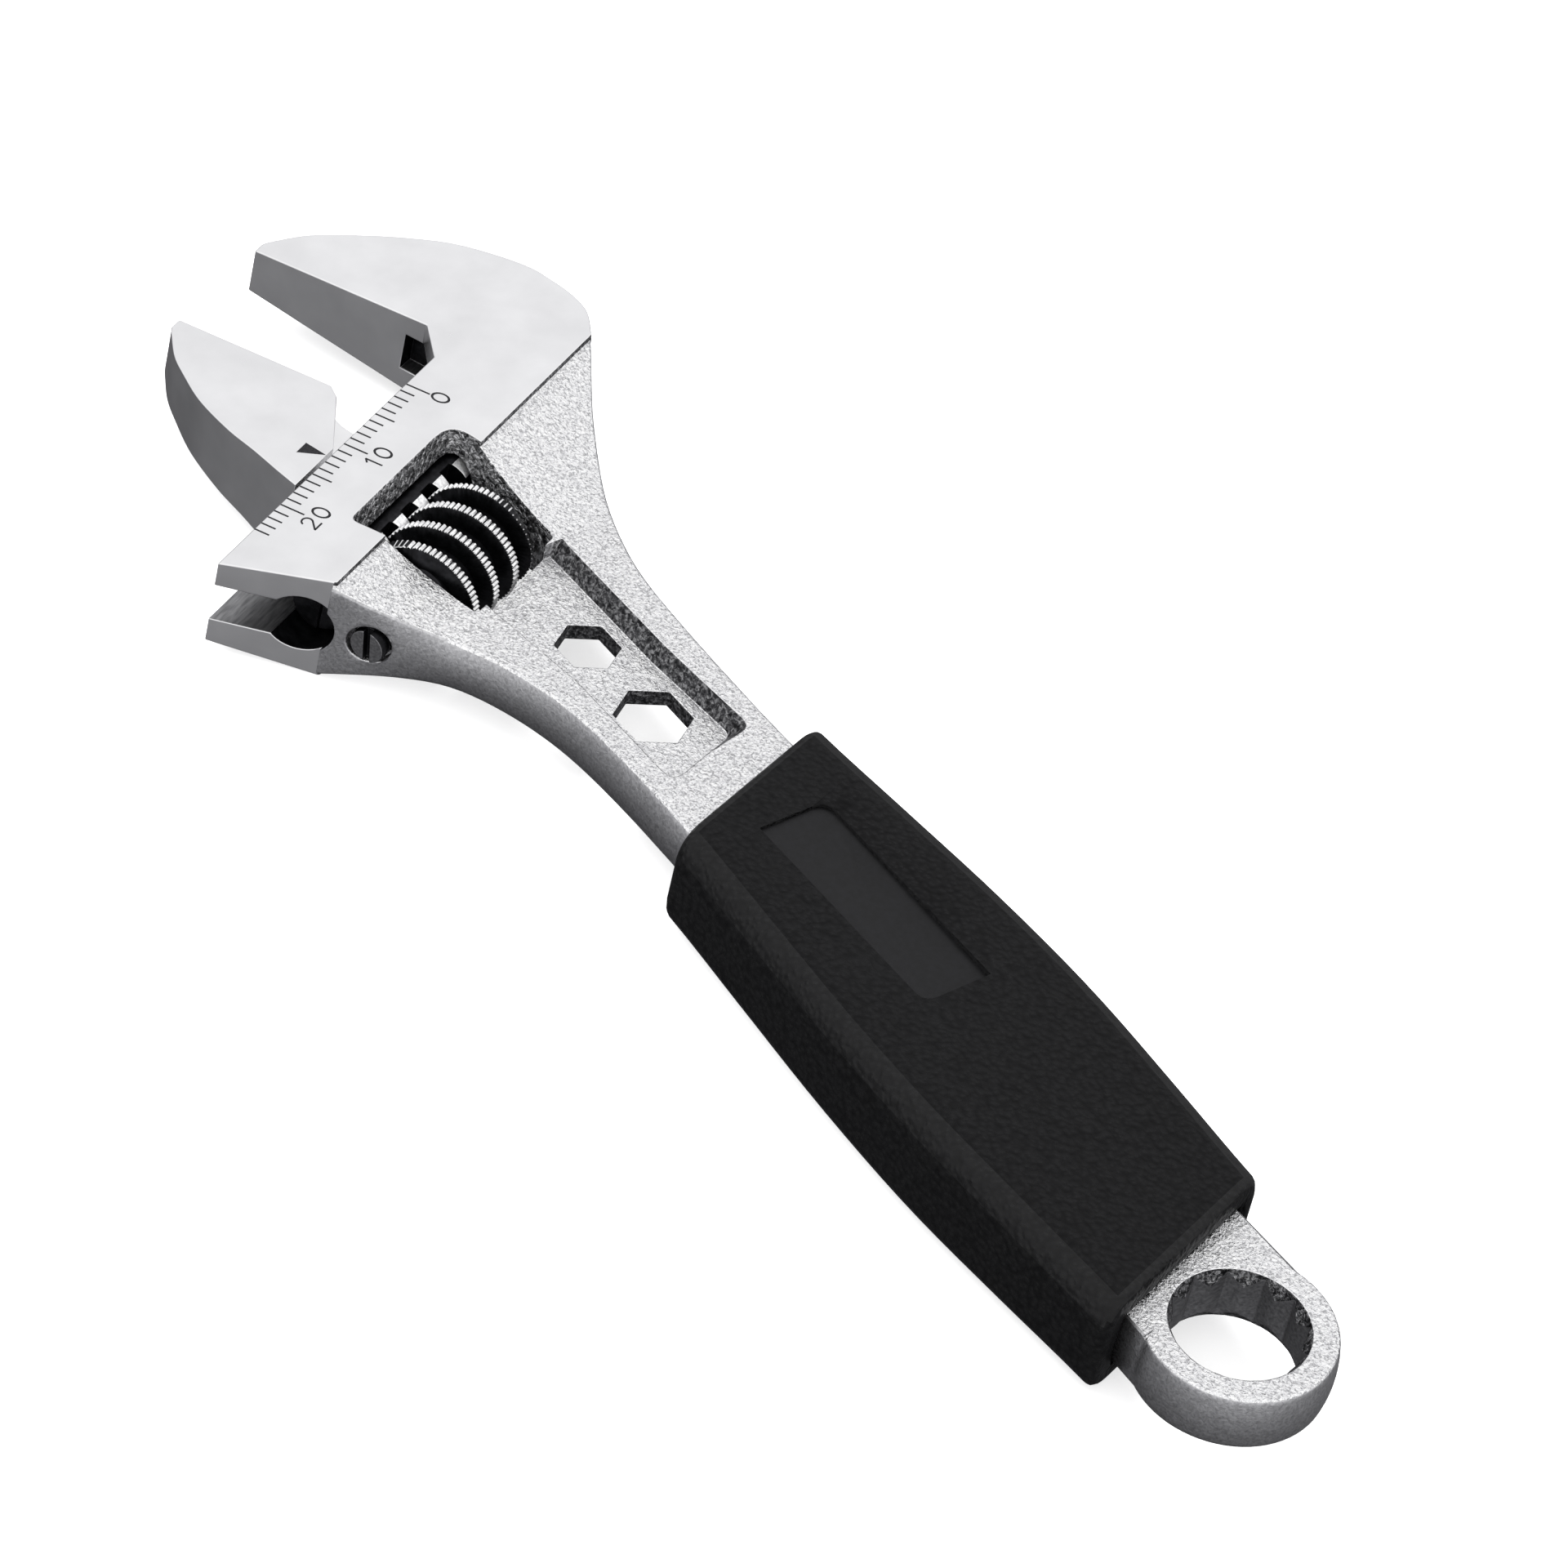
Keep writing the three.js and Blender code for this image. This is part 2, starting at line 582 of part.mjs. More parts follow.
const pieces = {
  wrench_body: [wrenchBody, chrome],
  movable_jaw: [movableJaw, chrome],
  adjusting_worm: [adjustingWorm, blackened],
  worm_pin: [wormPin, blackened],
  worm_spring: [wormSpring, blackened],
  handle_grip: [handleGrip, rubber],
};

const wrench = new THREE.Group();
for (const [name, [make, finish]] of Object.entries(pieces)) {
  const mesh = new THREE.Mesh(toGeometry(make()), new THREE.MeshStandardMaterial(finish));
  mesh.name = name;
  wrench.add(mesh);
}

// The origin goes to the middle of the box's underside, so that the wrench lies on z = 0.
const box = new THREE.Box3().setFromObject(wrench, true);
const middle = box.getCenter(new THREE.Vector3());
wrench.position.set(-middle.x, -middle.y, -box.min.z);

export default wrench;
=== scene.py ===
# %% [markdown]
# # An adjustable wrench
# The frame holds the six solid parts of the wrench at their true size. This script gives
# them their finish: ground and blasted chrome, blackened steel, and a grained rubber grip.
# The chrome parts are copies of the frame's solids with their sharp edges broken, because
# a real forging has no razor edges and the thin highlights there are what the eye reads.

# %% Load the frame
import json
from math import atan, atan2, cos, hypot, pi, radians, sin

import bmesh
import bpy
from mathutils import Matrix, Vector


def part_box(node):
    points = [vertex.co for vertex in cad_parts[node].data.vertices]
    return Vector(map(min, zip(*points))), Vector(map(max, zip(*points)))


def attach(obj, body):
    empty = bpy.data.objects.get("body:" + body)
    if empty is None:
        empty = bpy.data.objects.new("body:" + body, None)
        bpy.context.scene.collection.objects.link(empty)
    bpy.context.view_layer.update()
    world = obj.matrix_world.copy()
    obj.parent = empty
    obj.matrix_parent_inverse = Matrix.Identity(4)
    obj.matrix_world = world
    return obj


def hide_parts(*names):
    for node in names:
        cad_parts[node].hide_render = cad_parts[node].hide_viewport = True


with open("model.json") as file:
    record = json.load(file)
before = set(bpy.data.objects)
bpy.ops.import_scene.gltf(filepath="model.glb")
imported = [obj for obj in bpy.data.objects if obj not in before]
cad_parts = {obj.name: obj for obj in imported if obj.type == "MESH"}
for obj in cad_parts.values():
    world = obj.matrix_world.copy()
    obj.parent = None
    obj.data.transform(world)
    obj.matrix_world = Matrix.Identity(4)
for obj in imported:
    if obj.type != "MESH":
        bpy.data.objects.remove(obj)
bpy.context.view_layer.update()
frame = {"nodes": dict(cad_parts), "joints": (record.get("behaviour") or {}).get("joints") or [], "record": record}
MM = 0.001
record = frame["record"]
print("nodes:", sorted(frame["nodes"]))

# %% [markdown]
# ## Where things are
# The head is tilted from the handle, so marks on it are easiest to place in the head's own
# directions: "reach" towards the jaw tips, "along" the way the jaw opens, and up. The
# record gives both: the slide joint runs along, and the fixed jaw's face is a known point.

# %% Head frame
slide = next(j for j in frame["joints"] if j["name"] == "jaw_slide")
worm_turn = next(j for j in frame["joints"] if j["name"] == "worm_spin")
mounts = {m["name"]: Vector(m["pos_m"]) for m in record["mounts"]}
along_way = Vector(slide["axis"]).normalized()
reach_way = along_way.cross(Vector((0, 0, 1)))
FACE_REACH, FACE_ALONG = 13, -8          # where the fixed face's point lies, mm
zero_mark = mounts["fixed_jaw_face"] - MM * (FACE_REACH * reach_way + FACE_ALONG * along_way)
head = Matrix.Translation(zero_mark) @ Matrix(
    (reach_way, along_way, (0, 0, 1))).transposed().to_4x4()
to_head = head.inverted()
EDGE_HALF, WEDGE_SLOPE = 4.45, 0.105     # head's half thickness at the slide edge, and taper
STEP_REACH = -9.2                        # where grinding stops and the blasted skin begins
print("zero mark at", [round(c / MM, 2) for c in zero_mark], "mm")

# %% [markdown]
# ## Camera
# The camera looks down on the wrench from its side with a long lens, so that the tool
# runs corner to corner and its far end shrinks very little.

# %% Camera
AZIMUTH, ELEVATION, ROLL = radians(43.534), radians(43.361), radians(13.683)
CAMERA_FROM_ZERO = MM * Vector((413.35, -377.47, 496.41))
LENS, SENSOR = 199, 36                    # mm
camera_data = bpy.data.cameras.new("camera")
camera_data.lens, camera_data.sensor_width = LENS, SENSOR
camera_data.clip_start, camera_data.clip_end = 0.05, 5
camera = bpy.data.objects.new("camera", camera_data)
bpy.context.scene.collection.objects.link(camera)
bpy.context.scene.camera = camera
ahead = Vector((-sin(AZIMUTH) * cos(ELEVATION), cos(AZIMUTH) * cos(ELEVATION), -sin(ELEVATION)))
turned = ahead.to_track_quat("-Z", "Y") @ Matrix.Rotation(ROLL, 3, "Z").to_quaternion()
camera.matrix_world = Matrix.LocRotScale(zero_mark + CAMERA_FROM_ZERO, turned, None)
print("camera looks along", [round(c, 4) for c in ahead])

# %% [markdown]
# ## Light and floor
# Chrome shows its surroundings more than its own colour. A pale dome lights the wide faces,
# and the dome darkens below the horizon, so the side walls, which face down and out, turn
# the mid grey that separates them from the top. The floor stays pale but is left out of
# the reflections for the same reason.

# %% Helpers for shaders
def srgb(code):
    """Linear colour with alpha from an sRGB hex string."""
    parts = [int(code[i:i + 2], 16) / 255 for i in (1, 3, 5)]
    return [p / 12.92 if p <= 0.04045 else ((p + 0.055) / 1.055) ** 2.4 for p in parts] + [1]


def add_node(tree, kind, inputs=None, **settings):
    """A shader node with its settings. Each input takes a value or another node's socket."""
    node = tree.nodes.new("ShaderNode" + kind)
    for name, value in settings.items():
        setattr(node, name, value)
    for name, value in (inputs or {}).items():
        if isinstance(value, bpy.types.NodeSocket):
            tree.links.new(value, node.inputs[name])
        else:
            node.inputs[name].default_value = value
    return node


def ramp(tree, fac, stops):
    """A colour ramp node through the given (position, hex) stops."""
    node = add_node(tree, "ValToRGB", {"Fac": fac})
    elements = node.color_ramp.elements
    while len(elements) < len(stops):
        elements.new(0.5)
    for element, (position, code) in zip(elements, stops):
        element.position, element.color = position, srgb(code)
    return node


# %% Dome
world = bpy.data.worlds.new("studio_dome")
bpy.context.scene.world = world
world.use_nodes = True
sky = world.node_tree
sky.nodes.clear()
DOME_UP = Vector((0.28, -0.12, 1))        # leans, so walls that face different ways differ in tone
way = add_node(sky, "TexCoord")
height = add_node(sky, "VectorMath", {0: way.outputs["Generated"], 1: DOME_UP},
                  operation="DOT_PRODUCT")
level = add_node(sky, "MapRange", {"Value": height.outputs["Value"], "From Min": -1, "From Max": 1})
glow = ramp(sky, level.outputs["Result"],
            [(0, "#404042"), (0.2, "#727274"), (0.42, "#969698"), (0.52, "#e0e0e2"),
             (0.7, "#f4f4f5"), (0.8, "#fafafa"), (0.86, "#ffffff")])
dome = add_node(sky, "Background", {"Color": glow.outputs["Color"], "Strength": 1.06})
add_node(sky, "OutputWorld", {"Surface": dome.outputs["Background"]})

# %% Floor and lamps
bm = bmesh.new()
bmesh.ops.create_grid(bm, x_segments=1, y_segments=1, size=3)
floor_mesh = bpy.data.meshes.new("floor")
bm.to_mesh(floor_mesh)
bm.free()
floor = bpy.data.objects.new("floor", floor_mesh)
bpy.context.scene.collection.objects.link(floor)
floor.visible_glossy = False
paper = bpy.data.materials.new("white_paper")
paper.use_nodes = True
paint = paper.node_tree.nodes["Principled BSDF"].inputs
for name, value in (("Base Color", srgb("#f6f6f6")), ("Roughness", 0.9),
                    ("Specular IOR Level", 0), ("Emission Color", srgb("#ffffff")),
                    ("Emission Strength", 0.6)):
    paint[name].default_value = value
floor_mesh.materials.append(paper)


def lamp(name, at, size, watts):
    """A square soft box aimed at the middle of the wrench."""
    data = bpy.data.lights.new(name, "AREA")
    data.size, data.energy = size, watts
    light = bpy.data.objects.new(name, data)
    light.location = at
    light.rotation_mode = "QUATERNION"
    light.rotation_quaternion = (-Vector(at)).to_track_quat("-Z", "Y")
    light.visible_glossy = False          # the chrome sees the dome, not two bright squares
    bpy.context.scene.collection.objects.link(light)


lamp("soft_box_back", (-0.4, 0.6, 0.9), 0.6, 8)
lamp("soft_box_left", (-0.7, -0.35, 0.6), 0.4, 2)
bpy.context.scene.view_settings.view_transform = "Standard"

# %% [markdown]
# ## Chrome, ground
# The jaw faces are nickel-chrome plate over ground steel: bright, but each face carries
# the fine lines of the wheel and faint clouds from handling, so reflections are soft.

# %% Ground chrome
def new_material(name):
    """An empty node material, and its tree."""
    material = bpy.data.materials.new(name)
    material.use_nodes = True
    material.node_tree.nodes.clear()
    return material, material.node_tree


def surface(tree, **inputs):
    """The principled shader and the output it feeds. Input names are given with underscores."""
    named = {name.replace("_", " "): value for name, value in inputs.items()}
    shader = add_node(tree, "BsdfPrincipled", named)
    add_node(tree, "OutputMaterial", {"Surface": shader.outputs["BSDF"]})
    return shader


def noise(tree, scale, detail):
    """Noise in object coordinates, as a socket."""
    place = add_node(tree, "TexCoord")
    return add_node(tree, "TexNoise", {"Vector": place.outputs["Object"], "Scale": scale,
                                       "Detail": detail}).outputs["Fac"]


def head_coordinates(tree, stretch=(1, 1, 1)):
    """Object coordinates turned so that x is the reach and y the way the jaw opens."""
    place = add_node(tree, "TexCoord")
    angle = to_head.to_euler().z
    turn = add_node(tree, "Mapping", {"Vector": place.outputs["Object"], "Rotation": (0, 0, angle)})
    scaled = add_node(tree, "Mapping", {"Vector": turn.outputs["Vector"], "Scale": stretch})
    return scaled.outputs["Vector"]


ground_chrome, tree = new_material("ground_nickel_chrome")
lines = add_node(tree, "TexNoise", {"Vector": head_coordinates(tree, (0.12, 1, 1)),
                                    "Scale": 1 / (0.12 * MM), "Detail": 3})
clouds = add_node(tree, "TexNoise", {"Vector": head_coordinates(tree), "Scale": 1 / (5 * MM),
                                     "Detail": 4})
bloom = add_node(tree, "MapRange", {"Value": clouds.outputs["Fac"], "To Min": 0.24, "To Max": 0.36})
wheel = add_node(tree, "Bump", {"Height": lines.outputs["Fac"], "Strength": 0.12,
                                "Distance": 0.02 * MM})
tone = ramp(tree, clouds.outputs["Fac"], [(0.3, "#ebebec"), (0.7, "#f6f6f7")])
surface(tree, Base_Color=tone.outputs["Color"], Metallic=1.0, Roughness=bloom.outputs["Result"],
        Normal=wheel.outputs["Normal"])
print("made", ground_chrome.name)

# %% [markdown]
# ## Chrome, blasted
# Neck, handle and ring are plated over a blasted forging. The blast leaves pits a third of
# a millimetre across, which the plating follows, so the skin sparkles grey and white. The
# walls of the window keep the coarse scale of the forge. The flanks are tumbled smooth, and
# their darker tone is painted shade that turns the side walls mid grey.

# %% Blasted chrome
def blasted(name, stops, depth, pit, roughness):
    """Plated steel with a pitted skin. The stops give its tones from pit floor to crest."""
    material, tree = new_material(name)
    place = add_node(tree, "TexCoord")
    pits = add_node(tree, "TexNoise", {"Vector": place.outputs["Object"], "Scale": 1 / pit,
                                       "Detail": 3, "Roughness": 0.6, "Distortion": 0.6})
    swell = add_node(tree, "TexNoise", {"Vector": place.outputs["Object"], "Scale": 0.3 / pit,
                                        "Detail": 2})
    relief = add_node(tree, "Bump", {"Height": pits.outputs["Fac"], "Strength": 1,
                                     "Distance": depth})
    waves = add_node(tree, "Bump", {"Height": swell.outputs["Fac"], "Strength": 0.7,
                                    "Distance": depth, "Normal": relief.outputs["Normal"]})
    tone = ramp(tree, pits.outputs["Fac"], stops)
    surface(tree, Base_Color=tone.outputs["Color"], Metallic=1.0, Roughness=roughness,
            Normal=waves.outputs["Normal"])
    return material


blasted_chrome = blasted("blasted_chrome",
                         [(0.36, "#bababc"), (0.48, "#f0f0f2"), (0.58, "#ffffff")],
                         0.15 * MM, 0.28 * MM, 0.2)
# painted shade: a darker copy of the blasted chrome for the flanks, with a smoother skin
tumbled_shaded_chrome = blasted("tumbled_shaded_chrome", [(0.3, "#aaaaac"), (0.7, "#dcdcde")],
                         0.03 * MM, 0.3 * MM, 0.36)
window_skin = blasted("window_scale", [(0.36, "#48484a"), (0.5, "#9c9c9e"), (0.62, "#f0f0f2")],
                      0.35 * MM, 0.42 * MM, 0.38)
# a dark scale skin; on the step wall and in the socket and holes its darkness is partly painted shade
scale_and_shade_skin = blasted("forge_scale_and_painted_shade", [(0.36, "#29292b"), (0.5, "#5c5c5e"), (0.64, "#a8a8aa")],
                     0.3 * MM, 0.36 * MM, 0.42)
print("made", blasted_chrome.name, tumbled_shaded_chrome.name, window_skin.name, scale_and_shade_skin.name)

# %% [markdown]
# ## Unplated steels
# The worm and pin are blackened in hot oxide: a thin dark film that stays a little shiny.
# Where threads and teeth rub, the film is gone and bare cut steel shows. The slot for the
# jaw is milled after plating, so it is duller than the chrome.

# %% Blackened, bare and milled steel
black_oxide, tree = new_material("black_oxide_steel")
film = noise(tree, 1 / (0.8 * MM), 3)
tone = ramp(tree, film, [(0.35, "#1c1c1e"), (0.7, "#303033")])
worn = add_node(tree, "MapRange", {"Value": film, "To Min": 0.28, "To Max": 0.46})
skin = add_node(tree, "Bump", {"Height": film, "Strength": 0.4, "Distance": 0.03 * MM})
surface(tree, Base_Color=tone.outputs["Color"], Metallic=0.9, Roughness=worn.outputs["Result"],
        Normal=skin.outputs["Normal"])

bare_steel, tree = new_material("bare_cut_steel")
nicks = noise(tree, 1 / (0.3 * MM), 3)
tone = ramp(tree, nicks, [(0.3, "#d0d0d2"), (0.6, "#ffffff")])
dents = add_node(tree, "Bump", {"Height": nicks, "Strength": 0.5, "Distance": 0.03 * MM})
surface(tree, Base_Color=tone.outputs["Color"], Metallic=0.75, Roughness=0.3,
        Normal=dents.outputs["Normal"])

milled_steel, tree = new_material("milled_steel")
cut = add_node(tree, "TexNoise", {"Vector": head_coordinates(tree, (1, 0.15, 1)),
                                  "Scale": 1 / (0.25 * MM), "Detail": 2})
tone = ramp(tree, cut.outputs["Fac"], [(0.3, "#78787a"), (0.7, "#a2a2a4")])
surface(tree, Base_Color=tone.outputs["Color"], Metallic=1.0, Roughness=0.42)
print("made", black_oxide.name, bare_steel.name, milled_steel.name)

# %% [markdown]
# ## Breaking the edges
# A copy of each chrome solid is merged into one skin, its flat triangles are dissolved, and
# every sharp edge gets a narrow round with the bevel operator. Which finish a face gets
# follows from its place: the wedge faces in front of the step are ground, the rest is not.

# %% Copies with broken edges
def merged_copy(node, flat_within=0.6, moved=None):
    """A bmesh of a frame node with its loose triangles joined and its flats dissolved.

    "moved" gives a vertex its new place before the flats are dissolved."""
    bm = bmesh.new()
    bm.from_mesh(frame["nodes"][node].data)
    bmesh.ops.remove_doubles(bm, verts=bm.verts, dist=0.012 * MM)
    if moved:
        for vert in bm.verts:
            vert.co = moved(vert.co)
        bmesh.ops.remove_doubles(bm, verts=bm.verts, dist=0.02 * MM)
        bmesh.ops.dissolve_degenerate(bm, dist=0.005 * MM, edges=bm.edges)
    bmesh.ops.dissolve_limit(bm, angle_limit=radians(flat_within), verts=bm.verts, edges=bm.edges)
    return bm


def break_edges(bm, width, sharper_than=32, segments=2):
    """Rounds every edge sharper than the angle, in degrees."""
    sharp = [e for e in bm.edges if e.is_manifold and e.calc_face_angle() > radians(sharper_than)]
    bmesh.ops.bevel(bm, geom=sharp, offset=width, offset_type="OFFSET", affect="EDGES",
                    segments=segments, profile=0.5, material=-1, clamp_overlap=False,
                    loop_slide=True)
    return len(sharp)


def finished(bm, name, materials, body, *nodes):
    """The bmesh as a smooth-shaded object that rides on a body and stands for CAD nodes."""
    mesh = bpy.data.meshes.new(name)
    for node in nodes:                    # rounding may not grow the piece past its solid
        low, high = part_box(node)
        for vert in bm.verts:
            vert.co = [min(max(c, a), b) for c, a, b in zip(vert.co, low, high)]
    bm.to_mesh(mesh)
    bm.free()
    mesh.set_sharp_from_angle(angle=radians(38))
    for material in materials:
        mesh.materials.append(material)
    piece = bpy.data.objects.new(name, mesh)
    bpy.context.scene.collection.objects.link(piece)
    flats = piece.modifiers.new("flats_stay_flat", "WEIGHTED_NORMAL")
    flats.keep_sharp = True
    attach(piece, body)
    if nodes:
        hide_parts(*nodes)
    print(name, "has", len(mesh.polygons), "faces")
    return piece


def in_head(face):
    """A face's middle and outward direction in the head's directions, middle in mm."""
    return to_head @ face.calc_center_median() / MM, to_head.to_3x3() @ face.normal


# %% Forged body
# SCALE is the dark scale skin, which also carries painted shade on the step wall and the hole walls
BLASTED, GROUND, WINDOW, TUMBLED_SHADED, MILLED, PAINTED_SHADE, SCALE = range(7)
RAIL_REACH, BORE_RADIUS, SLOT_HALF, HEAD_ROOT = -7.2, 2.9, 1.9, 0.2
ring_centre = to_head @ mounts["ring_socket"] / MM
RING_OUTER, TANG_HALF = 8.45, 2.76
PANEL_WIDEST = 6.2                        # the neck's cut-outs lie this near its axis,
NECK_FROM_RING = 60                       # and farther than this from the ring
SOCKET_REACH = 6.05                       # walls nearer the ring's axis are the socket's
BORE_END, SLOT_END = 27, 4.7              # where the rail's bore and the jaw's slot stop, mm
WINDOW_REACH, WINDOW_ALONG = (-20.3, -3.6), (1.2, 18.9)
NEAR = 0.05                               # a face this close to a cut belongs to it, mm
WALL, FLANK = 0.9, 0.75                   # a normal that rises less is a wall's, or a flank's


def from_ring(middle):
    """Distance from the ring's axis, in mm."""
    return hypot(middle.x - ring_centre.x, middle.y - ring_centre.y)


def body_finish(middle, out):
    """Which finish a face of the body has, from its place and direction in the head's frame."""
    # painted shade: the bore and the slot's side walls take black oxide, as the shade inside them
    if hypot(middle.x - RAIL_REACH, middle.z) < BORE_RADIUS + NEAR and middle.y < BORE_END:
        return PAINTED_SHADE
    if RAIL_REACH < middle.x < SLOT_END and abs(middle.z) < SLOT_HALF + NEAR:
        return MILLED if abs(out.z) > WALL else PAINTED_SHADE
    steep = abs(out.z) < WALL
    in_window = (WINDOW_REACH[0] < middle.x < WINDOW_REACH[1]
                 and WINDOW_ALONG[0] < middle.y < WINDOW_ALONG[1])
    if in_window and steep:
        return WINDOW
    # painted shade: the step's wall that faces the neck is painted with the dark scale skin
    if abs(middle.x - STEP_REACH + HEAD_ROOT) < 0.1 and out.x < -0.5:
        return SCALE
    if middle.x > STEP_REACH - HEAD_ROOT:
        return GROUND
    # the socket's steep walls take the dark scale skin, its darkness partly painted shade
    if from_ring(middle) < SOCKET_REACH and steep:
        return SCALE if abs(out.z) > 0.1 else MILLED
    # the walls of the neck's holes take the dark scale skin, its darkness partly painted shade
    inside = abs((head @ (middle * MM)).y - mounts["ring_socket"].y) < PANEL_WIDEST * MM
    if inside and from_ring(middle) > NECK_FROM_RING and steep:
        return SCALE
    # flanks take the darker chrome, whose tone is painted shade
    return TUMBLED_SHADED if abs(out.z) < FLANK else BLASTED


def without_ledge(point):
    """The ring's faces brought level with the tang they run into."""
    height = (point.z - zero_mark.z) / MM
    if from_ring(to_head @ point / MM) > RING_OUTER + 1 or abs(height) < TANG_HALF - 0.01:
        return point
    return Vector((point.x, point.y, zero_mark.z + (TANG_HALF if height > 0 else -TANG_HALF) * MM))


bm = merged_copy("wrench_body", moved=without_ledge)
for face in bm.faces:
    face.material_index = body_finish(*in_head(face))
print("sharp edges:", break_edges(bm, 0.13 * MM))
body_skins = [blasted_chrome, ground_chrome, window_skin, tumbled_shaded_chrome, milled_steel,
              black_oxide, scale_and_shade_skin]     # in the order of the numbers above
forged_body = finished(bm, "forged_body", body_skins, "handle", "wrench_body")

# %% [markdown]
# ## Sliding jaw
# The jaw is ground like the fixed one. Its rail is turned and its teeth are cut, so where
# they face the worm both are bright bare metal. The grooves, the plate and the jaw's root
# are painted dark with black oxide: painted shade.

# %% Sliding jaw
bm = merged_copy("movable_jaw")
RAIL_RADIUS, TIP_SKIN = 2.6, 0.12         # tooth tips lie this near the rail's skin, mm
ROOT_REACH, ROOT_ALONG, ROOT_HALF = 6, 5.6, 1.65     # the plate's end in the jaw's root, mm


def jaw_finish(middle, out):
    """0 ground chrome, 1 painted shade in black oxide on the plate, grooves and root, 2 bare skin and tooth tips.

    Only the side of the rail that faces the worm is rubbed bare."""
    if middle.x > -0.1:
        # painted shade at the jaw's root and the plate's end
        root = middle.y < ROOT_ALONG and abs(middle.z) < ROOT_HALF and middle.x < ROOT_REACH
        return 1 if root else 0
    on_rail = hypot(middle.x - RAIL_REACH, middle.z) > RAIL_RADIUS - TIP_SKIN
    return 2 if on_rail and out.x < -0.1 else 1


for face in bm.faces:
    face.material_index = jaw_finish(*in_head(face))
print("sharp edges:", break_edges(bm, 0.08 * MM))
# black oxide on the jaw is painted shade on its plate, grooves and root
sliding_jaw = finished(bm, "sliding_jaw", [ground_chrome, black_oxide, bare_steel], "jaw",
                       "movable_jaw")

# %% [markdown]
# ## Adjusting worm
# The worm is the thumb wheel of the tool. A thread profile is swept with a screw motion:
# bmesh's spin takes a step along the axis as well as a turn. Two steps of the crest in
# every four are pressed in a little, which cuts the straight knurl that a thumb grips.

# %% Worm
PITCH, CREST, ROOT_WIDTH, DEPTH = 3.18, 0.95, 1.5, 1.7     # thread, mm
WORM_RADIUS, WORM_LENGTH, BORE = 5.3, 10.9, 1.5
KNURLS = 64                                # ridges in one turn
KNURL_DEPTH = 0.16                        # mm
THREAD_LEAD = 0.35                        # length over which the thread's ends are turned away
SQUEEZED, RUN_ON = 1.2, 0.4               # mm of the end, and of the further thread that it takes in
worm_centre = Vector(worm_turn["pos_m"])
worm_place = Matrix.Translation(worm_centre) @ Matrix(
    (reach_way, (0, 0, -1), along_way)).transposed().to_4x4()
RACK_PHASE = 8.39 - 12.55                  # a crest faces the rack here, from the worm's middle, mm
root = WORM_RADIUS - DEPTH


def profile(bm, points):
    """Vertices and edges of a closed flat profile, given as (radius, height) in mm."""
    ring = [bm.verts.new((r * MM, 0, z * MM)) for r, z in points]
    return ring + [bm.edges.new(pair) for pair in zip(ring, ring[1:] + ring[:1])]


bm = bmesh.new()
half = WORM_LENGTH / 2
core = profile(bm, [(BORE, -half), (root - 0.2, -half), (root, 0.2 - half), (root, half - 0.2),
                    (root - 0.2, half), (BORE, half)])
bmesh.ops.spin(bm, geom=core, cent=(0, 0, 0), axis=(0, 0, 1), angle=2 * pi, steps=96,
               use_merge=True)
bmesh.ops.recalc_face_normals(bm, faces=bm.faces)
print("worm core:", len(bm.faces), "faces")

turns = 6
start = RACK_PHASE - 2 * PITCH
thread = bmesh.new()
section = profile(thread, [(root - 0.3, -ROOT_WIDTH / 2), (root, -ROOT_WIDTH / 2),
                           (WORM_RADIUS - 0.08, -CREST / 2), (WORM_RADIUS, -CREST / 2 + 0.08),
                           (WORM_RADIUS, CREST / 2 - 0.08), (WORM_RADIUS - 0.08, CREST / 2),
                           (root, ROOT_WIDTH / 2), (root - 0.3, ROOT_WIDTH / 2)])
bmesh.ops.translate(thread, vec=(0, 0, start * MM), verts=thread.verts)
steps = turns * KNURLS * 4
climb = (0, 0, turns * PITCH * MM / steps)
bmesh.ops.spin(thread, geom=section, cent=(0, 0, 0), axis=(0, 0, 1), dvec=climb,
               angle=2 * pi * turns, steps=steps, use_merge=False)
print("thread:", len(thread.faces), "faces")

# %% Knurl, trim and join
def radius_of(point):
    """Distance from the local z axis, in mm."""
    return Vector((point.x, point.y)).length / MM


quarter = 2 * pi / (4 * KNURLS)
for vert in thread.verts:
    if radius_of(vert.co) > WORM_RADIUS - 0.1:
        place = round(atan2(vert.co.y, vert.co.x) / quarter) % 4
        if place > 1:
            vert.co.xy *= (WORM_RADIUS - KNURL_DEPTH) / WORM_RADIUS
    run_out = (SQUEEZED - half - vert.co.z / MM) / (SQUEEZED + RUN_ON)
    if run_out > 0:
        vert.co.z = (SQUEEZED * (1 - run_out) - half) * MM
    beyond = abs(vert.co.z) / MM - (half - THREAD_LEAD)
    if beyond > 0 and radius_of(vert.co) > root:
        vert.co.xy *= max(root, min(radius_of(vert.co), WORM_RADIUS - beyond)) / radius_of(vert.co)
for side in (-1, 1):
    everything = thread.verts[:] + thread.edges[:] + thread.faces[:]
    bmesh.ops.bisect_plane(thread, geom=everything, plane_co=(0, 0, side * half * MM),
                           plane_no=(0, 0, side), clear_outer=True)
bmesh.ops.holes_fill(thread, edges=[e for e in thread.edges if e.is_boundary], sides=0)
bmesh.ops.recalc_face_normals(thread, faces=thread.faces)
loose = bpy.data.meshes.new("thread")
thread.to_mesh(loose)
thread.free()
bm.from_mesh(loose)
bpy.data.meshes.remove(loose)
for face in bm.faces:
    middle = face.calc_center_median()
    crest = WORM_RADIUS - max(0, abs(middle.z) / MM - half + THREAD_LEAD)
    face.material_index = 1 if radius_of(middle) > crest - 0.6 * KNURL_DEPTH else 0
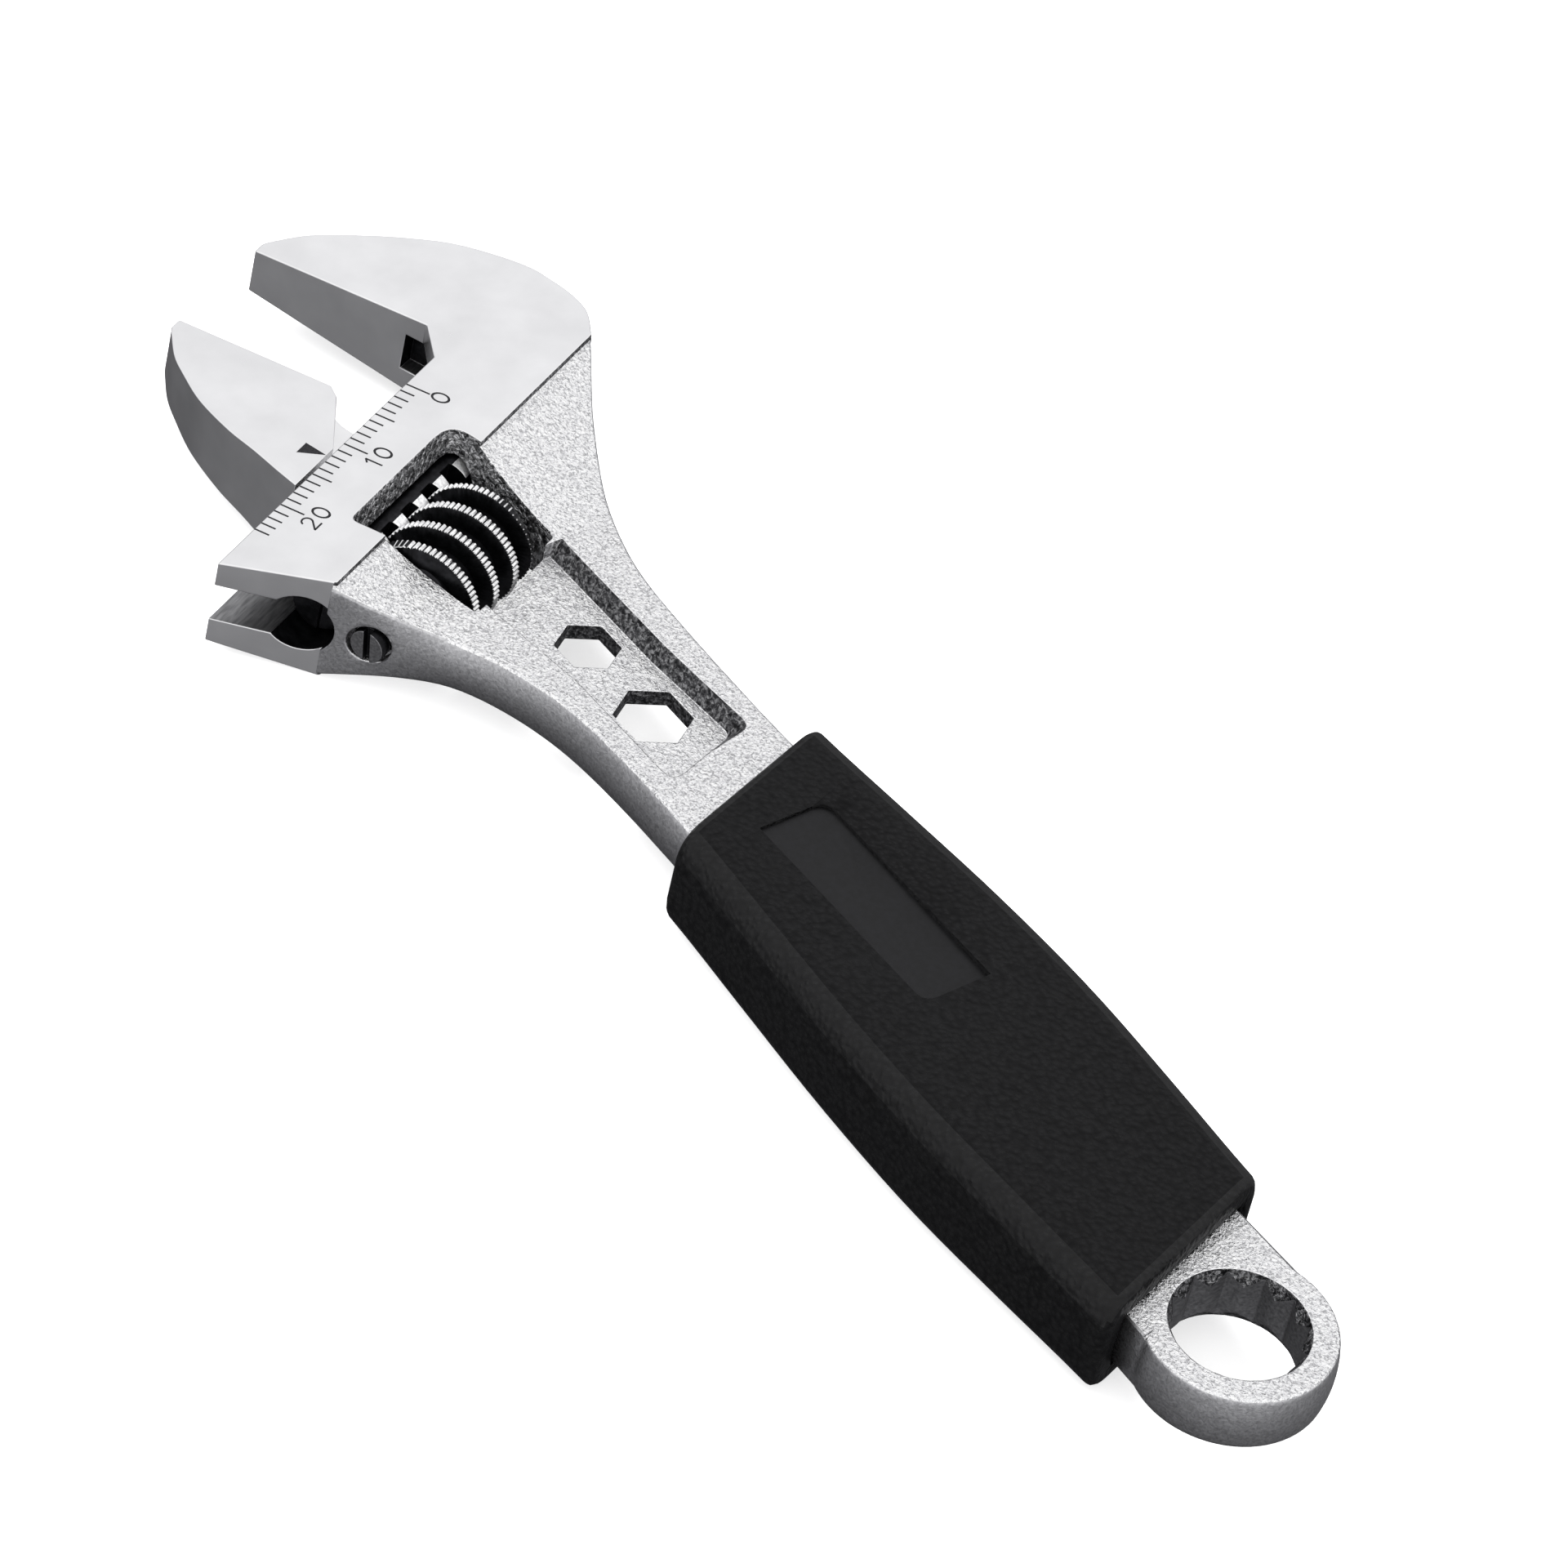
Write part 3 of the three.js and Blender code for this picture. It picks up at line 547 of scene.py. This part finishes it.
bmesh.ops.transform(bm, matrix=worm_place, verts=bm.verts)
knurled_worm = finished(bm, "knurled_worm", [black_oxide, bare_steel], "worm", "adjusting_worm")

# %% [markdown]
# ## Pin and spring
# The pin is black like the worm, with a driver slot in its head. The spring is hidden in
# the worm, so the frame's own coil is enough and only gets a drawn-wire finish.

# %% Pin and spring
PIN_END = 25.6                            # where the slotted end lies, mm along
bm = merged_copy("worm_pin")
for face in bm.faces:
    place, out = in_head(face)
    face.material_index = 0 if out.y > 0.9 and place.y > PIN_END - 0.1 else 1
break_edges(bm, 0.1 * MM)
slotted_pin = finished(bm, "slotted_pin", [milled_steel, black_oxide], "handle", "worm_pin")
spring_wire, tree = new_material("drawn_spring_wire")
draw = noise(tree, 1 / (0.2 * MM), 2)
tone = ramp(tree, draw, [(0.3, "#77777a"), (0.7, "#a0a0a4")])
surface(tree, Base_Color=tone.outputs["Color"], Metallic=1.0, Roughness=0.35)
frame["nodes"]["worm_spring"].data.materials.clear()
frame["nodes"]["worm_spring"].data.materials.append(spring_wire)

# %% [markdown]
# ## Grip
# The grip is thermoplastic rubber, moulded with a leather grain: soft cells half a
# millimetre across with creases between them. The sunk label panel was left smooth in the
# mould, so it reflects a little more evenly than the skin round it.

# %% Rubber
CELL = 0.5 * MM                           # one cell of the leather grain


def leather_rubber(name, shine):
    """Black rubber moulded with a leather grain. Handling gives it more shine."""
    material, tree = new_material(name)
    place = add_node(tree, "TexCoord")
    wander = add_node(tree, "TexNoise", {"Vector": place.outputs["Object"], "Scale": 1 / (1.2 * MM),
                                         "Detail": 2})
    bend = add_node(tree, "VectorMath", {0: wander.outputs["Color"], "Scale": 0.5 * MM},
                    operation="SCALE")
    bent = add_node(tree, "VectorMath", {0: place.outputs["Object"], 1: bend.outputs["Vector"]},
                    operation="ADD")
    cells = add_node(tree, "TexVoronoi", {"Vector": bent.outputs["Vector"], "Scale": 1 / CELL},
                     feature="SMOOTH_F1")
    fine = noise(tree, 1 / (0.3 * MM), 3)
    domes = add_node(tree, "MapRange", {"Value": cells.outputs["Distance"], "From Max": 0.8,
                                        "To Min": 1, "To Max": 0})
    leather = add_node(tree, "Bump", {"Height": domes.outputs["Result"], "Strength": 1,
                                      "Distance": 0.16 * MM})
    grit = add_node(tree, "Bump", {"Height": fine, "Strength": 0.5, "Distance": 0.03 * MM,
                                   "Normal": leather.outputs["Normal"]})
    tone = ramp(tree, domes.outputs["Result"], [(0.2, "#080809"), (0.8, "#121213")])
    surface(tree, Base_Color=tone.outputs["Color"], Roughness=0.45, Specular_IOR_Level=shine,
            Normal=grit.outputs["Normal"])
    return material


grained_rubber = leather_rubber("grained_rubber", 0.11)
handled_rubber = leather_rubber("handled_rubber", 0.24)

smooth_rubber, tree = new_material("smooth_rubber")
fine = noise(tree, 1 / (0.5 * MM), 3)
tone = ramp(tree, fine, [(0.3, "#131314"), (0.7, "#171719")])
skin = add_node(tree, "Bump", {"Height": fine, "Strength": 0.2, "Distance": 0.02 * MM})
surface(tree, Base_Color=tone.outputs["Color"], Roughness=0.45, Specular_IOR_Level=0.16,
        Normal=skin.outputs["Normal"])

# %% Grip
LABEL_FLOOR = 4.8                         # the panel's floor is this far from the middle plane, mm
bm = merged_copy("handle_grip", flat_within=0.02)
for face in bm.faces:
    depth = abs(face.calc_center_median().z - zero_mark.z) / MM
    if abs(face.normal.z) > 0.9999 and abs(depth - LABEL_FLOOR) < 0.04:
        face.material_index = 1
    elif 0.35 < abs(face.normal.z) < 0.97:    # the rounded edges, which the hand rubs
        face.material_index = 2
rubber_grip = finished(bm, "rubber_grip", [grained_rubber, smooth_rubber, handled_rubber], "handle",
                       "handle_grip")

# %% [markdown]
# ## Scale and pointer
# The millimetre scale is etched into the ground face: thin dark lines from the slide's
# edge, longer at each five and ten, with plain numerals. They are drawn as strokes, flat
# bars and arcs a sixth of a millimetre wide, and laid on the sloping face.

# %% Etched marks
etched, tree = new_material("etched_steel")
bite = noise(tree, 1 / (0.15 * MM), 2)
tone = ramp(tree, bite, [(0.3, "#1e1e20"), (0.7, "#333336")])
surface(tree, Base_Color=tone.outputs["Color"], Metallic=0.3, Roughness=0.6,
        Specular_IOR_Level=0.2)
LINE = 0.17                               # width of an etched line, mm


def bar_stroke(bm, start, stop, width=LINE):
    """A flat bar between two points, in mm."""
    a, b = Vector((*start, 0)), Vector((*stop, 0))
    made = bmesh.ops.create_grid(bm, x_segments=1, y_segments=1, size=0.5)["verts"]
    bmesh.ops.scale(bm, vec=((b - a).length, width, 1), verts=made)
    turn = Matrix.Rotation(atan2(b.y - a.y, b.x - a.x), 3, "Z")
    bmesh.ops.rotate(bm, cent=(0, 0, 0), matrix=turn, verts=made)
    bmesh.ops.translate(bm, vec=(a + b) / 2, verts=made)
    return made


def arc_stroke(bm, centre, radius, start, sweep, tall=1.0):
    """A flat arc: a short edge spun round a centre, then stretched in y. Angles in degrees."""
    ends = [bm.verts.new((radius - LINE / 2, 0, 0)), bm.verts.new((radius + LINE / 2, 0, 0))]
    edge = bm.edges.new(ends)
    bmesh.ops.rotate(bm, cent=(0, 0, 0), matrix=Matrix.Rotation(radians(start), 3, "Z"), verts=ends)
    before = set(bm.verts) - set(ends)
    full = abs(sweep) == 360
    bmesh.ops.spin(bm, geom=ends + [edge], cent=(0, 0, 0), axis=(0, 0, 1), angle=radians(sweep),
                   steps=28, use_merge=full)
    made = [v for v in bm.verts if v not in before]
    bmesh.ops.scale(bm, vec=(1, tall, 1), verts=made)
    bmesh.ops.translate(bm, vec=(*centre, 0), verts=made)
    return made


def numeral(bm, digit, reach, along):
    """A digit 1.7 mm tall whose top points to the jaw tips."""
    if digit == "0":
        made = arc_stroke(bm, (0, 0), 0.56, 0, 360, tall=1.4)
    elif digit == "1":
        made = bar_stroke(bm, (0.1, -0.85), (0.1, 0.85))
        made += bar_stroke(bm, (0.13, 0.82), (-0.3, 0.45))
    else:
        made = arc_stroke(bm, (0, 0.32), 0.48, 165, -205)
        made += bar_stroke(bm, (0.4, 0.03), (-0.52, -0.78))
        made += bar_stroke(bm, (-0.57, -0.79), (0.57, -0.79))
    stand = Matrix.Translation((reach, along, 0)) @ Matrix.Rotation(radians(-90), 4, "Z")
    bmesh.ops.transform(bm, matrix=stand, verts=made)


def lay_on_face(bm, lift=0.012, thick=0.03):
    """Takes flat strokes from head millimetres to the sloping ground face, with a thickness."""
    bm.normal_update()
    bmesh.ops.reverse_faces(bm, faces=[f for f in bm.faces if f.normal.z < 0])
    bmesh.ops.solidify(bm, geom=bm.faces[:], thickness=thick)
    bmesh.ops.recalc_face_normals(bm, faces=bm.faces)
    top = max(v.co.z for v in bm.verts)
    bmesh.ops.translate(bm, vec=(0, 0, lift - top), verts=bm.verts)
    slope = Matrix.Rotation(atan(WEDGE_SLOPE), 4, "Y")
    place = head @ Matrix.Scale(MM, 4) @ Matrix.Translation((0, 0, EDGE_HALF)) @ slope
    bmesh.ops.transform(bm, matrix=place, verts=bm.verts)


# %% Scale
TEN_LENGTH, FIVE_LENGTH, ONE_LENGTH = 2.45, 2.0, 1.5     # how far the marks run, mm
FROM_EDGE = 0.09                          # where they start, clear of the broken edge, mm
bm = bmesh.new()
for mark in range(25):
    length = TEN_LENGTH if mark % 10 == 0 else FIVE_LENGTH if mark % 5 == 0 else ONE_LENGTH
    bar_stroke(bm, (-length, mark), (-FROM_EDGE, mark))
NUMERAL_REACH = -3.45
for digit, along in (("0", -0.13), ("1", 10.7), ("0", 9.12), ("2", 20.63), ("0", 18.94)):
    numeral(bm, digit, NUMERAL_REACH, along)
lay_on_face(bm)
millimetre_scale = finished(bm, "millimetre_scale", [etched], "handle")

# %% Pointer on the sliding jaw
bm = bmesh.new()
corners = [bm.verts.new(corner) for corner in ((2.6, 11.8, 0), (2.6, 13.35, 0), (0.36, 12.2, 0))]
bm.faces.new(corners)
lay_on_face(bm)
pointer = finished(bm, "pointer", [etched], "jaw")
